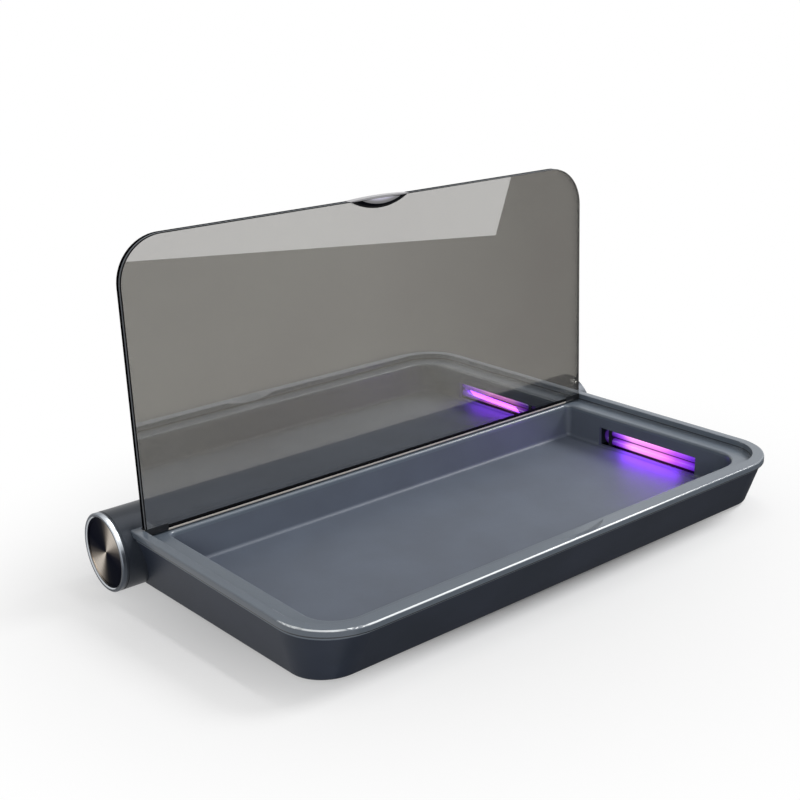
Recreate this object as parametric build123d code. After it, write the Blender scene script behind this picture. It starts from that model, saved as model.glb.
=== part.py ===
from build123d import *
import os
from math import cos, radians, sin, sqrt, tan

os.makedirs("parts", exist_ok=True)

# A tray with a hinged see-through lid and an ultraviolet lamp in its right wall. A round
# barrel along the back holds the battery and the boards, with the power button in its left
# end. Millimetres. X runs along the length, Y to the back and Z up. The origin is the
# centre of the overall box, on the surface that the tray stands on.
#
# The rim is a plane that rises towards the back. Pieces that follow it are drawn in rim
# coordinates: x, then v back along the rim from the front edge, then w out of the rim.

# ---- Driving dimensions ---------------------------------------------------------------
tray_length = 210.0            # along X, over the rim
rim_front_height = 19.3        # top of the rim above the table, at the front edge
rim_slope = 1.9                # degrees, rising to the back
rim_corner_radius = 20.0
front_draft = 23.5             # degrees, how far the front wall leans in
side_draft = 13.0              # degrees
corner_draft = 22.0            # degrees, how fast the corner radius shrinks downwards
barrel_radius = 13.6
barrel_back = 115.5            # barrel axis behind the rim's front edge, level
table_gap = 0.8                # table to the underside of the lower shell

shell_wall = 1.6
shell_foot_round = 1.0         # round along the bottom of the walls
shell_floor = 1.6
cradle_wall = 1.6
cradle_edge = 6.6              # shell's back edge in front of the barrel axis
parting_groove = 0.5           # shadow line between the rim frame and the shell
fit_gap = 0.1                  # between fixed pieces that slide together
running_gap = 0.05             # radial, round a turning pin

rim_land = 3.4                 # flat top of the rim, at the two ends
rim_front_land = 4.8475        # flat top of the rim, in front of the lid's recess
rim_band = 2.3                 # height of the rim frame's outer edge
rim_edge_round = 0.6
recess_edge_round = 0.3
ledge_edge_round = 1.0
recess_depth = 2.8             # seat of the lid below the rim
ledge_width = 7.6
ledge_thickness = 1.8
scoop_reach = 18.2             # radius of the finger scoop's edge on the rim
scoop_margin = 0.4             # rim left in front of the scoop
scoop_depth = 1.8

liner_wall = 1.0
liner_floor = 1.0
liner_draft = 0.5              # how far the cavity closes in by its floor
liner_flange = 1.3
liner_flange_thickness = 1.0
liner_floor_round = 1.4
cavity_depth = 16.0            # phone's floor below the rim
cavity_front_radius = 11.0     # the two front corners, seen from above
cavity_back_radius = 2.5
liner_side_gap = 0.3           # liner to the ends of the barrel's cradle
rib_thickness = 1.4
rib_pitch = 62.0

lid_thickness = 3.0
lid_under_gap = 0.1            # closed lid above its seat
lid_side_gap = 0.3
lid_corner_radius = 15.5
lid_back_gap = 0.15            # open lid to the barrel's milled step
lid_edge_chamfer = 0.3
hinge_from_barrel = 12.5       # hinge axis in front of the barrel axis, along the rim
pivot_length = 8.0
pivot_height = 1.5             # above the hinge axis
pivot_relief = 0.4
pin_radius = 0.6
pin_length = 8.2
pin_in_rim = 2.4
washer_radius = 1.05
washer_thickness = 0.2

tab_width = 26.0
tab_depth = 3.6
tab_crown = 0.5                # how far the tab's top bows out of the lid's edge
tab_border = 0.75
magnet_length = 7.0
magnet_width = 1.2
magnet_thickness = 1.2

collar_length = 8.5
collar_reach = 5.7             # collar past the rim's left side
collar_lip_radius = 12.2
collar_lip_length = 3.2
collar_bore = 12.8
collar_chamfer = 0.35
collar_ring_length = 2.1       # bright ring at the collar's outer end
ring_groove_depth = 0.15
ring_groove_width = 0.3
barrel_wall = 2.2
button_gap = 0.15
button_inset = 0.4             # button's rim behind the collar's face
button_step = 0.15             # dished face behind the button's rim
button_dish = 0.45
button_rim_width = 0.8
button_web = 1.2
button_skirt = 1.2
button_flange = 1.0
button_travel = 1.0
stem_radius = 1.6
switch_size = 6.0
switch_height = 2.0
plunger_radius = 1.6
plunger_height = 0.8
carrier_web = 1.5
carrier_spigot = 4.0
spring_radius = 6.2
spring_wire = 0.6              # side of the square wire
spring_turns = 5

cap_length = 7.0
cap_reach = 5.0                # end cap past the rim's right side
cap_chamfer = 1.2
cap_end_wall = 1.8
socket_width = 9.0
socket_height = 3.3
socket_length = 7.4
socket_wall = 0.35
socket_tongue = 0.7
indicator_radius = 1.7
indicator_dome = 0.5
indicator_angle = 24.0         # degrees forward of the top of the barrel
indicator_from_cap_end = 4.3

cell_radius = 9.2
cell_length = 65.0
cell_nub_radius = 3.2
cell_nub_length = 1.0
cell_from_left = 42.0          # barrel tube's left end to the cell
holder_wall = 1.6
holder_end = 1.4
holder_opening = 9.0           # height of the holder's open top above the axis
contact_thickness = 0.4
contact_radius = 5.5
contact_dome = 2.0
board_thickness = 1.2
board_drop = 4.5               # boards below the barrel axis
control_board_length = 30.0
driver_board_length = 62.0
board_end_gap = 2.0
component_gap = 2.0
chip_size = 7.0
chip_height = 1.2
coil_size = 5.0
coil_height = 3.0
plug_length = 3.0
plug_width = 9.0
plug_height = 4.5
transformer_length = 18.0
transformer_width = 11.0
transformer_height = 7.5
capacitor_radius = 3.0
capacitor_height = 8.0

lamp_window_front = 33.0       # from the rim's front edge
lamp_window_length = 49.5
lamp_window_height = 7.3
lamp_window_sill = 0.3         # above the cavity floor
lamp_tube_radius = 1.5
lamp_tube_pitch = 3.7
lamp_wall_gap = 0.4
lamp_base_length = 6.0
lamp_clip_length = 1.6
lamp_clip_wall = 0.7
lamp_end_gap = 0.6
reflector_thickness = 0.3
reflector_gap = 0.25
reflector_margin = 0.5

boss_radius = 2.2
boss_from_liner = 2.3
boss_from_front = 23.5         # behind the rim's front edge
boss_from_back = 8.8           # in front of the cavity's back wall
boss_split = 9.0               # meeting height of the two halves, below the rim
screw_radius = 0.8
screw_head_radius = 1.6
screw_head_height = 1.2
screw_head_depth = 2.6
screw_grip = 5.0
screw_clearance = 0.15

foot_radius = 5.0
foot_thickness = 1.6
foot_from_side = 24.0
foot_from_front = 22.0
foot_from_back = 30.0
foot_round = 0.4

reed_radius = 1.0
reed_length = 14.0
reed_offset = 14.0
catch_length = 12.0
catch_width = 3.4
catch_thickness = 0.8

# ---- Worked-out places ----------------------------------------------------------------
slope_sin = sin(radians(rim_slope))
slope_cos = cos(radians(rim_slope))
front_lean = tan(radians(front_draft))
side_lean = tan(radians(side_draft))
corner_lean = tan(radians(corner_draft))
half_length = tray_length / 2
front_y = -(barrel_back + barrel_radius) / 2
barrel_y = front_y + barrel_back
barrel_z = barrel_radius
rim_place = Location((0, front_y, rim_front_height), (rim_slope, 0, 0))

# the barrel axis in rim coordinates
axis_drop = barrel_z - rim_front_height
barrel_v = barrel_back * slope_cos + axis_drop * slope_sin
barrel_w = axis_drop * slope_cos - barrel_back * slope_sin

ledge_w = -recess_depth
ledge_underside = ledge_w - ledge_thickness
margin = rim_land + ledge_width
cavity_half = half_length - margin
cavity_back = barrel_v - barrel_radius - fit_gap - liner_wall
floor_w = -cavity_depth
liner_underside = floor_w - liner_floor
liner_half = cavity_half + liner_wall

hinge_v = barrel_v - hinge_from_barrel
hinge_w = ledge_w + lid_under_gap + lid_thickness / 2
lid_half = half_length - rim_land - lid_side_gap
recess_half = half_length - rim_land
lid_reach = hinge_v - rim_front_land - tab_crown - lid_side_gap
recess_back = hinge_v + lid_thickness / 2 + lid_back_gap
recess_corner = lid_corner_radius + lid_side_gap
lid_top_w = hinge_w + lid_reach

left_end = -half_length - collar_reach
tube_left = left_end + collar_length
right_end = half_length + cap_reach
tube_right = right_end - cap_length
bore_radius = barrel_radius - barrel_wall
spigot_radius = bore_radius - fit_gap
deep = 2 * barrel_radius       # far enough down to pass the table


def in_rim(shape):
    """Move a shape drawn in rim coordinates to its place."""
    return rim_place * shape


def on_barrel(shape):
    """Turn a shape drawn about Z, going up, to the barrel axis, going to +X."""
    return Pos(0, barrel_y, barrel_z) * Rot(0, 90, 0) * shape


def panel(half_x, front, back, w, front_radius, back_radius=0.0):
    """A flat sheet in rim coordinates, with rounded front and back corners."""
    sheet = Pos(0, (front + back) / 2, w) * Rectangle(2 * half_x, back - front)
    front_corners = sheet.vertices().sort_by(Axis.Y)[:2]
    sheet = fillet(front_corners, front_radius)
    if back_radius > 0:
        back_corners = sheet.vertices().sort_by(Axis.Y)[-2:]
        sheet = fillet(back_corners, back_radius)
    return sheet


def slab(half_x, front, back, top, bottom, front_radius, back_radius=0.0):
    """A panel given thickness, from its top down to its bottom."""
    sheet = panel(half_x, front, back, top, front_radius, back_radius)
    return extrude(sheet, amount=bottom - top)


def drafted_block(inset, top, bottom, back):
    """The tray's outer form between two heights, pulled in by a wall thickness."""
    sections = []
    for w in (top, bottom):
        side = side_lean * -w + inset / cos(radians(side_draft))
        front = front_lean * -w + inset / cos(radians(front_draft))
        radius = rim_corner_radius - corner_lean * -w - inset
        sections.append(panel(half_length - side, front, back, w, radius))
    return loft(sections, ruled=True)


def revolved(points):
    """Spin an outline of (along, radius) points about the barrel axis."""
    profile = make_face(Polyline([(r, 0, x) for x, r in points], close=True))
    return Pos(0, barrel_y, barrel_z) * Rot(0, 90, 0) * revolve(profile, Axis.Z)


def barrel_rod(radius, start, end):
    """A plain cylinder on the barrel axis between two places along X."""
    rod = Cylinder(radius, end - start, align=(Align.CENTER, Align.CENTER, Align.MIN))
    return Pos(start, 0, 0) * on_barrel(rod)


def rim_rod(radius, x, v, top, bottom):
    """A round rod square to the rim."""
    rod = Cylinder(radius, top - bottom, align=(Align.CENTER, Align.CENTER, Align.MIN))
    return Pos(x, v, bottom) * rod


def below_table_line(height):
    """Everything below a level height, to be cut away."""
    size = 4 * half_length
    return Pos(0, 0, height - size / 2) * Box(size, size, size)


def mirrored_places(x, fronts):
    return [(side * x, v) for side in (-1, 1) for v in fronts]


boss_x = liner_half + boss_from_liner
boss_places = mirrored_places(boss_x, (boss_from_front, cavity_back - boss_from_back))
foot_places = [
    (side * (half_length - foot_from_side), y)
    for side in (-1, 1)
    for y in (front_y + foot_from_front, barrel_y - foot_from_back)
]


# ---- The tray -------------------------------------------------------------------------
def make_lower_shell():
    top = -rim_band
    back = barrel_v - cradle_edge
    outer = in_rim(drafted_block(0, top - parting_groove, -deep, back))
    outer -= below_table_line(table_gap)
    base = outer.faces().sort_by(Axis.Z)[0].edges()
    outer = fillet(base.filter_by(lambda e: e.center().Y < base.sort_by(Axis.Y)[-1].center().Y
                                  - 1e-4), shell_foot_round)
    lip = drafted_block(parting_groove, top, top - 2 * parting_groove, back)
    cradle = barrel_rod(barrel_radius + fit_gap + cradle_wall, -tray_length, tray_length)
    liner_end = liner_half + liner_flange + liner_side_gap
    cradle -= in_rim(slab(liner_end, margin, barrel_v, 0, liner_underside, liner_wall))
    hollow = in_rim(drafted_block(shell_wall, ledge_underside, -deep, back + 1))
    hollow -= below_table_line(table_gap + shell_floor)
    mouth = in_rim(drafted_block(shell_wall, 1, ledge_underside - fit_gap, back + 1))
    shell = outer + in_rim(lip) - (hollow - cradle) - mouth
    for index in (-1, 0, 1):
        rib_back = cavity_back - liner_floor_round
        rib = slab(rib_thickness / 2, margin + liner_floor_round, rib_back,
                   liner_underside, -deep, rib_thickness / 4)
        shell += in_rim(Pos(index * rib_pitch, 0, 0) * rib)
    for x, v in boss_places:
        shell += in_rim(rim_rod(boss_radius, x, v, -boss_split, -deep))
    shell -= below_table_line(table_gap)
    shell -= barrel_rod(barrel_radius + fit_gap, -tray_length, tray_length)
    for x, v in boss_places:
        hole = rim_rod(screw_radius + screw_clearance, x, v, 0, -deep)
        head = rim_rod(screw_head_radius + fit_gap, x, v,
                       screw_seat(v), -deep)
        shell -= in_rim(hole + head)
    for x, y in foot_places:
        pocket = Pos(x, y, 0) * Cylinder(foot_radius + fit_gap, 2 * foot_thickness)
        shell -= pocket
    return shell


def screw_seat(v):
    """Height below the rim of the face that a screw head pulls on."""
    table_w = -(rim_front_height + v * slope_sin) / slope_cos
    return table_w + table_gap + screw_head_depth


def make_rim_frame():
    outer = slab(half_length, 0, barrel_v, 0, -rim_band, rim_corner_radius)
    outer = round_top(outer, rim_edge_round, barrel_v)
    side = side_lean * -ledge_underside + shell_wall / cos(radians(side_draft)) + fit_gap
    front = front_lean * -ledge_underside + shell_wall / cos(radians(front_draft)) + fit_gap
    skirt_radius = rim_corner_radius - corner_lean * -ledge_underside - shell_wall
    frame = outer + slab(half_length - side, front, barrel_v, -rim_band / 2,
                         ledge_underside, skirt_radius)
    frame -= slab(recess_half, rim_front_land, recess_back, 1, ledge_w, recess_corner)
    frame = round_top(frame, recess_edge_round, recess_back, recess_half)
    for x, v in boss_places:
        frame += rim_rod(boss_radius - fit_gap, x, v, ledge_underside, -boss_split)
        frame -= rim_rod(screw_radius, x, v, screw_tip(v), -deep)
    frame -= slab(cavity_half, margin, cavity_back, 1, -deep, cavity_front_radius,
                  cavity_back_radius)
    opening = frame.edges().filter_by(
        lambda e: abs(e.center().Z - ledge_w) < 1e-4 and e.center().Y < cavity_back + 1e-4
        and abs(e.center().X) < cavity_half + 1e-4 and e.center().Y > margin - 1e-4)
    frame = fillet(opening, ledge_edge_round)
    frame -= finger_scoop()
    pin_hole = Cylinder(pin_radius + running_gap, 2 * (recess_half + pin_in_rim))
    frame -= Pos(0, hinge_v, hinge_w) * Rot(0, 90, 0) * pin_hole
    frame = in_rim(frame)
    return frame - barrel_rod(barrel_radius + fit_gap, -tray_length, tray_length)


def round_top(shape, radius, back, half_x=None):
    """Round the edges of a rim outline at w = 0, apart from the one along the back."""
    limit = half_length if half_x is None else half_x
    edges = shape.edges().filter_by(
        lambda e: abs(e.center().Z) < 1e-4 and e.center().Y < back - 1e-4
        and abs(e.center().X) < limit + 1e-4
        and e.bounding_box().max.Y < back + 1e-4
        and (half_x is None or e.center().Y > rim_land - 1e-4))
    return fillet(edges, radius)


def screw_tip(v):
    return screw_seat(v) + screw_grip + screw_grip


def finger_scoop():
    """A shallow ball-shaped scoop across the front of the rim."""
    centre_v = scoop_margin + scoop_reach
    inner = centre_v - rim_front_land
    rise = (scoop_reach**2 - inner**2 - scoop_depth**2) / (2 * scoop_depth)
    ball = Pos(0, centre_v, rise) * Sphere(sqrt(scoop_reach**2 + rise**2))
    land = Pos(0, rim_front_land / 2, ledge_w / 2) * Box(
        3 * scoop_reach, rim_front_land, recess_depth)
    return ball & land


def make_cavity_liner():
    flange_out = liner_wall + liner_flange
    flange = slab(cavity_half + flange_out, margin - flange_out, cavity_back + liner_wall,
                  ledge_underside, ledge_underside - liner_flange_thickness,
                  cavity_front_radius + flange_out)
    tub = slab(liner_half, margin - liner_wall, cavity_back + liner_wall,
               ledge_underside, liner_underside, cavity_front_radius + liner_wall,
               cavity_back_radius + liner_wall)
    upper = panel(cavity_half, margin, cavity_back, ledge_underside, cavity_front_radius,
                  cavity_back_radius)
    lower = panel(cavity_half - liner_draft, margin + liner_draft, cavity_back - liner_draft,
                  floor_w, cavity_front_radius - liner_draft,
                  cavity_back_radius - liner_draft)
    space = loft([upper, lower], ruled=True)
    space = fillet(space.faces().sort_by(Axis.Z)[0].edges(), liner_floor_round)
    liner = flange + tub - space
    window_w = floor_w + lamp_window_sill + lamp_window_height / 2
    window_v = lamp_window_front + lamp_window_length / 2
    liner -= Pos(liner_half, window_v, window_w) * Box(
        4 * liner_wall, lamp_window_length, lamp_window_height)
    for x, v in boss_places:
        liner -= rim_rod(boss_radius + fit_gap, x, v, 0, -deep)
    return in_rim(liner)


# ---- The lamp in the right wall --------------------------------------------------------
lamp_x = liner_half + lamp_wall_gap + lamp_tube_radius
lamp_mid_w = floor_w + lamp_window_sill + lamp_window_height / 2
lamp_bend = lamp_tube_pitch / 2
lamp_back = lamp_window_front + lamp_window_length - lamp_end_gap
lamp_turn_v = lamp_back - lamp_tube_radius - lamp_bend
lamp_base_front = lamp_window_front - lamp_base_length
reflector_x = lamp_x + lamp_tube_radius + reflector_gap


def lamp_route(start_v):
    """The middle line of the folded lamp tube, in rim coordinates."""
    low = lamp_mid_w - lamp_bend
    high = lamp_mid_w + lamp_bend
    lower = Line((lamp_x, start_v, low), (lamp_x, lamp_turn_v, low))
    turn = ThreePointArc((lamp_x, lamp_turn_v, low),
                         (lamp_x, lamp_turn_v + lamp_bend, lamp_mid_w),
                         (lamp_x, lamp_turn_v, high))
    upper = Line((lamp_x, lamp_turn_v, high), (lamp_x, start_v, high))
    return Wire([lower, turn, upper])


def make_lamp_tube():
    start_v = lamp_base_front + lamp_base_length / 2
    route = lamp_route(start_v)
    section = Plane(origin=(lamp_x, start_v, lamp_mid_w - lamp_bend), x_dir=(1, 0, 0),
                    z_dir=(0, 1, 0)) * Circle(lamp_tube_radius)
    return in_rim(sweep(section, route))


def lamp_holder(front, length, cap_wall):
    """A block round both runs of the tube, seated on the liner."""
    width = reflector_x - liner_half
    height = lamp_tube_pitch + 2 * lamp_tube_radius + 2 * cap_wall
    block = Pos(liner_half + width / 2, front + length / 2, lamp_mid_w) * Box(
        width, length, height)
    for side in (-1, 1):
        bore = Cylinder(lamp_tube_radius + running_gap, 2 * length)
        block -= Pos(lamp_x, front + length, lamp_mid_w + side * lamp_bend) * (
            Rot(90, 0, 0) * bore)
    return block


def make_lamp_base():
    block = lamp_holder(lamp_base_front, lamp_base_length, lamp_clip_wall)
    stop = Pos(lamp_x, lamp_base_front + lamp_base_length / 4, lamp_mid_w) * Box(
        2 * lamp_tube_radius, lamp_base_length / 2,
        lamp_tube_pitch + 2 * lamp_tube_radius)
    return in_rim(block + stop)


def make_lamp_clip():
    return in_rim(lamp_holder(lamp_turn_v - lamp_clip_length, lamp_clip_length,
                              lamp_clip_wall / 2))


def make_lamp_reflector():
    height = lamp_tube_pitch + 2 * lamp_tube_radius + 2 * lamp_clip_wall
    height += 2 * reflector_thickness
    depth = reflector_x + reflector_thickness - liner_half
    front = lamp_window_front
    length = lamp_window_length + reflector_margin
    middle = Pos(liner_half + depth / 2, front + length / 2, lamp_mid_w)
    channel = middle * Box(depth, length, height)
    inside = middle * Pos(-reflector_thickness, 0, 0) * Box(
        depth, 2 * length, height - 2 * reflector_thickness)
    return in_rim(channel - inside)


# ---- The lid ---------------------------------------------------------------------------
def lid_blank(half_x, top_w, corner_radius):
    """The standing lid: a sheet with a round lower edge on the hinge axis."""
    height = top_w - hinge_w
    sheet = Rectangle(2 * half_x, height)
    sheet = fillet(sheet.vertices().sort_by(Axis.Y)[-2:], corner_radius)
    upright = Plane(origin=(0, hinge_v, hinge_w + height / 2), x_dir=(1, 0, 0),
                    z_dir=(0, -1, 0))
    blank = extrude(upright * sheet, amount=lid_thickness / 2, both=True)
    edges = blank.faces().sort_by(Axis.Y)[0].edges() + blank.faces().sort_by(Axis.Y)[-1].edges()
    edges = edges.filter_by(lambda e: e.center().Z > hinge_w + lid_thickness)
    blank = chamfer(edges, lid_edge_chamfer)
    roll = Pos(0, hinge_v, hinge_w) * Rot(0, 90, 0) * Cylinder(lid_thickness / 2, 2 * half_x)
    return blank + roll


def crescent(border):
    """The finger tab's outline at the lid's free edge, pulled in by a border."""
    half = tab_width / 2
    low = (half**2 + tab_depth**2) / (2 * tab_depth)
    high = (half**2 + tab_crown**2) / (2 * tab_crown)
    bowl = Pos(0, low - tab_depth) * Circle(low - border)
    crown = Pos(0, tab_crown - high) * Circle(high - border)
    upright = Plane(origin=(0, hinge_v, lid_top_w), x_dir=(1, 0, 0), z_dir=(0, -1, 0))
    return upright * (bowl & crown)


def pivot_pocket(side, clearance):
    """The room of one pivot block in a lower corner of the lid."""
    length = pivot_length + clearance
    height = pivot_height + clearance + lid_thickness / 2
    low = hinge_w - lid_thickness / 2
    return Pos(side * (lid_half - length / 2), hinge_v, low + height / 2) * Box(
        length, lid_thickness, height)


def make_lid_panel():
    lid = lid_blank(lid_half, lid_top_w, lid_corner_radius)
    lid -= extrude(crescent(0), amount=lid_thickness, both=True)
    for side in (-1, 1):
        lid -= pivot_pocket(side, 0)
    return in_rim(lid)


def make_finger_tab_frame():
    solid = extrude(crescent(0), amount=lid_thickness / 2, both=True)
    hole = extrude(crescent(tab_border), amount=lid_thickness, both=True)
    return in_rim(solid - hole)


def magnet_body(clearance):
    middle = lid_top_w - tab_depth / 2
    return Pos(0, hinge_v, middle) * Box(magnet_length + clearance,
                                         magnet_thickness + clearance,
                                         magnet_width + clearance)


def make_finger_tab():
    solid = extrude(crescent(tab_border), amount=lid_thickness / 2, both=True)
    return in_rim(solid - magnet_body(0))


def make_lid_magnet():
    return in_rim(magnet_body(0))


def make_pivot_block(side):
    block = pivot_pocket(side, 0)
    roll = Pos(side * (lid_half - pivot_length / 2), hinge_v, hinge_w) * (
        Rot(0, 90, 0) * Cylinder(lid_thickness / 2, pivot_length))
    lower = Pos(side * lid_half, hinge_v, hinge_w - lid_thickness) * Box(
        4 * pivot_length, 2 * lid_thickness, 2 * lid_thickness)
    block = (block - lower) + roll
    return in_rim(block - hinge_pin(side))


def hinge_pin(side):
    end = recess_half + pin_in_rim - fit_gap
    pin = Cylinder(pin_radius, pin_length)
    return Pos(side * (end - pin_length / 2), hinge_v, hinge_w) * Rot(0, 90, 0) * pin


def make_hinge_pins():
    return Compound([in_rim(hinge_pin(side)) for side in (-1, 1)])


def make_hinge_washers():
    rings = []
    for side in (-1, 1):
        ring = Cylinder(washer_radius, washer_thickness)
        ring -= Cylinder(pin_radius + running_gap, 2 * washer_thickness)
        x = side * (recess_half - washer_thickness / 2)
        rings.append(in_rim(Pos(x, hinge_v, hinge_w) * Rot(0, 90, 0) * ring))
    return Compound(rings)


# ---- The barrel ------------------------------------------------------------------------
def make_barrel_tube():
    tube = barrel_rod(barrel_radius, tube_left, tube_right)
    tube -= barrel_rod(bore_radius, tube_left, tube_right)
    step = Pos(0, recess_back - barrel_radius, ledge_w + barrel_radius) * Box(
        2 * recess_half, 2 * barrel_radius, 2 * barrel_radius)
    return tube - in_rim(step)


button_face = left_end + button_inset
button_radius = collar_lip_radius - button_gap
flange_front = left_end + collar_lip_length
flange_back = flange_front + button_flange
carrier_face = tube_left + carrier_spigot - carrier_web
web_back = button_face + button_step + button_dish + button_web
plunger_tip = carrier_face - switch_height - plunger_height
stem_end = plunger_tip - button_travel - running_gap


def make_button_collar():
    """A sleeve with a lip in front of the button, and a groove behind its end ring."""
    lip = left_end + collar_lip_length
    ring = left_end + collar_ring_length
    groove = barrel_radius - ring_groove_depth
    return revolved([
        (left_end + collar_chamfer, collar_lip_radius),
        (left_end, collar_lip_radius + collar_chamfer),
        (left_end, barrel_radius - collar_chamfer),
        (left_end + collar_chamfer, barrel_radius), (ring, barrel_radius),
        (ring, groove), (ring + ring_groove_width, groove),
        (ring + ring_groove_width, barrel_radius), (tube_left, barrel_radius),
        (tube_left, collar_bore), (lip, collar_bore), (lip, collar_lip_radius)])


def make_power_button():
    """A spun metal cap: a shallow cone inside a narrow flat rim, with a back flange."""
    flat = button_radius - button_rim_width
    inner = button_radius - button_skirt
    return revolved([
        (button_face + button_step + button_dish, 0), (button_face + button_step, flat),
        (button_face, flat), (button_face, button_radius),
        (flange_front, button_radius), (flange_front, collar_bore - button_gap),
        (flange_back, collar_bore - button_gap), (flange_back, inner),
        (web_back, inner), (web_back, 0)])


def make_button_stem():
    """A plastic plunger behind the cap, with a foot glued to the cap's back."""
    foot = stem_radius + button_skirt
    return revolved([(web_back, 0), (web_back, foot), (web_back + button_web / 2, foot),
                     (web_back + button_web, stem_radius), (stem_end, stem_radius),
                     (stem_end, 0)])


def make_switch_carrier():
    """A cup in the tube's end: its rim seats on the tube, its floor holds the switch."""
    spigot_end = tube_left + carrier_spigot
    hollow = spigot_radius - carrier_web
    return revolved([
        (carrier_face, 0), (carrier_face, hollow), (tube_left - carrier_web, hollow),
        (tube_left - carrier_web, collar_bore - fit_gap),
        (tube_left, collar_bore - fit_gap), (tube_left, spigot_radius),
        (spigot_end, spigot_radius), (spigot_end, 0)])


def make_tact_switch():
    body = Pos(carrier_face - switch_height / 2, barrel_y, barrel_z) * Box(
        switch_height, switch_size, switch_size)
    return body + barrel_rod(plunger_radius, plunger_tip, carrier_face - switch_height)


def make_button_spring():
    """A short coil between the switch carrier and the back of the cap."""
    length = carrier_face - web_back - spring_wire
    route = Helix(length / spring_turns, length, spring_radius)
    section = Plane(origin=route @ 0, z_dir=route % 0) * Rectangle(spring_wire, spring_wire)
    coil = sweep(section, route, is_frenet=True)
    return Pos(web_back + spring_wire / 2, 0, 0) * on_barrel(coil)


def make_end_cap():
    spigot_end = tube_right - carrier_spigot
    inner = spigot_radius - carrier_web
    cap = revolved([
        (right_end, 0), (right_end, barrel_radius - cap_chamfer),
        (right_end - cap_chamfer, barrel_radius), (tube_right, barrel_radius),
        (tube_right, spigot_radius), (spigot_end, spigot_radius), (spigot_end, inner),
        (right_end - cap_end_wall, inner), (right_end - cap_end_wall, 0)])
    cap -= socket_block(fit_gap)
    return cap - indicator_rod(indicator_radius + running_gap, 2 * barrel_radius)


def socket_block(clearance):
    """A flat-sided stadium, the outline of the charging socket."""
    outline = SlotOverall(socket_width + 2 * clearance, socket_height + 2 * clearance)
    face = Plane(origin=(right_end, barrel_y, barrel_z), x_dir=(0, 1, 0),
                 z_dir=(1, 0, 0)) * outline
    return extrude(face, amount=-socket_length)


def make_charging_socket():
    shell = socket_block(0)
    room = Plane(origin=(right_end, barrel_y, barrel_z), x_dir=(0, 1, 0),
                 z_dir=(1, 0, 0)) * SlotOverall(socket_width - 2 * socket_wall,
                                                socket_height - 2 * socket_wall)
    shell -= extrude(room, amount=-(socket_length - socket_wall))
    tongue_length = socket_length - 2 * socket_wall
    tongue = Pos(right_end - socket_length + tongue_length / 2, barrel_y, barrel_z) * Box(
        tongue_length, socket_width - 4 * socket_height / 2 + socket_height, socket_tongue)
    return shell + tongue


def indicator_rod(radius, length):
    """A rod that points out of the barrel at the indicator's place."""
    x = right_end - indicator_from_cap_end
    rod = Cylinder(radius, length, align=(Align.CENTER, Align.CENTER, Align.MIN))
    return Pos(x, barrel_y, barrel_z) * Rot(indicator_angle, 0, 0) * rod


def make_indicator_lens():
    inner = spigot_radius - carrier_web
    rod = indicator_rod(indicator_radius, barrel_radius)
    dome_radius = (indicator_radius**2 + indicator_dome**2) / (2 * indicator_dome)
    x = right_end - indicator_from_cap_end
    ball = Pos(x, barrel_y, barrel_z) * Rot(indicator_angle, 0, 0) * (
        Pos(0, 0, barrel_radius + indicator_dome - dome_radius) * Sphere(dome_radius))
    tall = indicator_rod(indicator_radius, 2 * barrel_radius)
    return (rod + (tall & ball)) - barrel_rod(inner, tube_left, right_end)


# ---- Inside the barrel -----------------------------------------------------------------
cell_left = tube_left + cell_from_left
cell_right = cell_left + cell_length
holder_left = cell_left - contact_dome - contact_thickness - holder_end
holder_right = cell_right + cell_nub_length + contact_thickness + holder_end


def make_battery_cell():
    groove = cell_right - 2.5 * cell_nub_length
    cell = revolved([
        (cell_left, 0), (cell_left, cell_radius), (groove - 1, cell_radius),
        (groove, cell_radius - 0.4), (groove + 1, cell_radius), (cell_right, cell_radius),
        (cell_right, cell_nub_radius), (cell_right + cell_nub_length, cell_nub_radius),
        (cell_right + cell_nub_length, 0)])
    return cell


def make_battery_holder():
    sleeve = barrel_rod(spigot_radius, holder_left, holder_right)
    sleeve -= barrel_rod(cell_radius + running_gap, holder_left + holder_end,
                         holder_right - holder_end)
    length = holder_right - holder_left
    above = Pos((holder_left + holder_right) / 2, barrel_y,
                barrel_z + holder_opening / 2 + barrel_radius) * Box(
        2 * length, 2 * barrel_radius, 2 * barrel_radius)
    return sleeve - above


def make_positive_contact():
    start = cell_right + cell_nub_length
    return barrel_rod(contact_radius, start, start + contact_thickness)


def make_negative_contact():
    """A stamped dome that presses on the cell's flat end."""
    back = holder_left + holder_end
    tip = cell_left
    inner = contact_radius / 3
    return revolved([
        (back, inner + contact_thickness), (back, contact_radius),
        (back + contact_thickness, contact_radius),
        (tip, inner), (tip, 0), (tip - contact_thickness, 0),
        (tip - contact_thickness, inner - contact_thickness)])


def board(start, length):
    """A circuit board across the bore, with its edges at the wall."""
    half = sqrt(bore_radius**2 - (board_drop + board_thickness)**2) - fit_gap
    z = barrel_z - board_drop - board_thickness / 2
    return Pos(start + length / 2, barrel_y, z) * Box(length, 2 * half, board_thickness)


def in_a_row(start, components):
    """Blocks on a board's top, one after another, as (length, width, height)."""
    row = []
    at = start + component_gap
    for length, width, height in components:
        middle = Pos(at + length / 2, barrel_y, barrel_z - board_drop + height / 2)
        row.append(middle * Box(length, width, height))
        at += length + component_gap
    return row, at


def make_control_board():
    start = tube_left + carrier_spigot + board_end_gap
    row, _ = in_a_row(start, [
        (plug_length, plug_width, plug_height), (chip_size, chip_size, chip_height),
        (coil_size, coil_size, coil_height), (coil_size, coil_size, coil_height)])
    return board(start, control_board_length) + row


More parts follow.
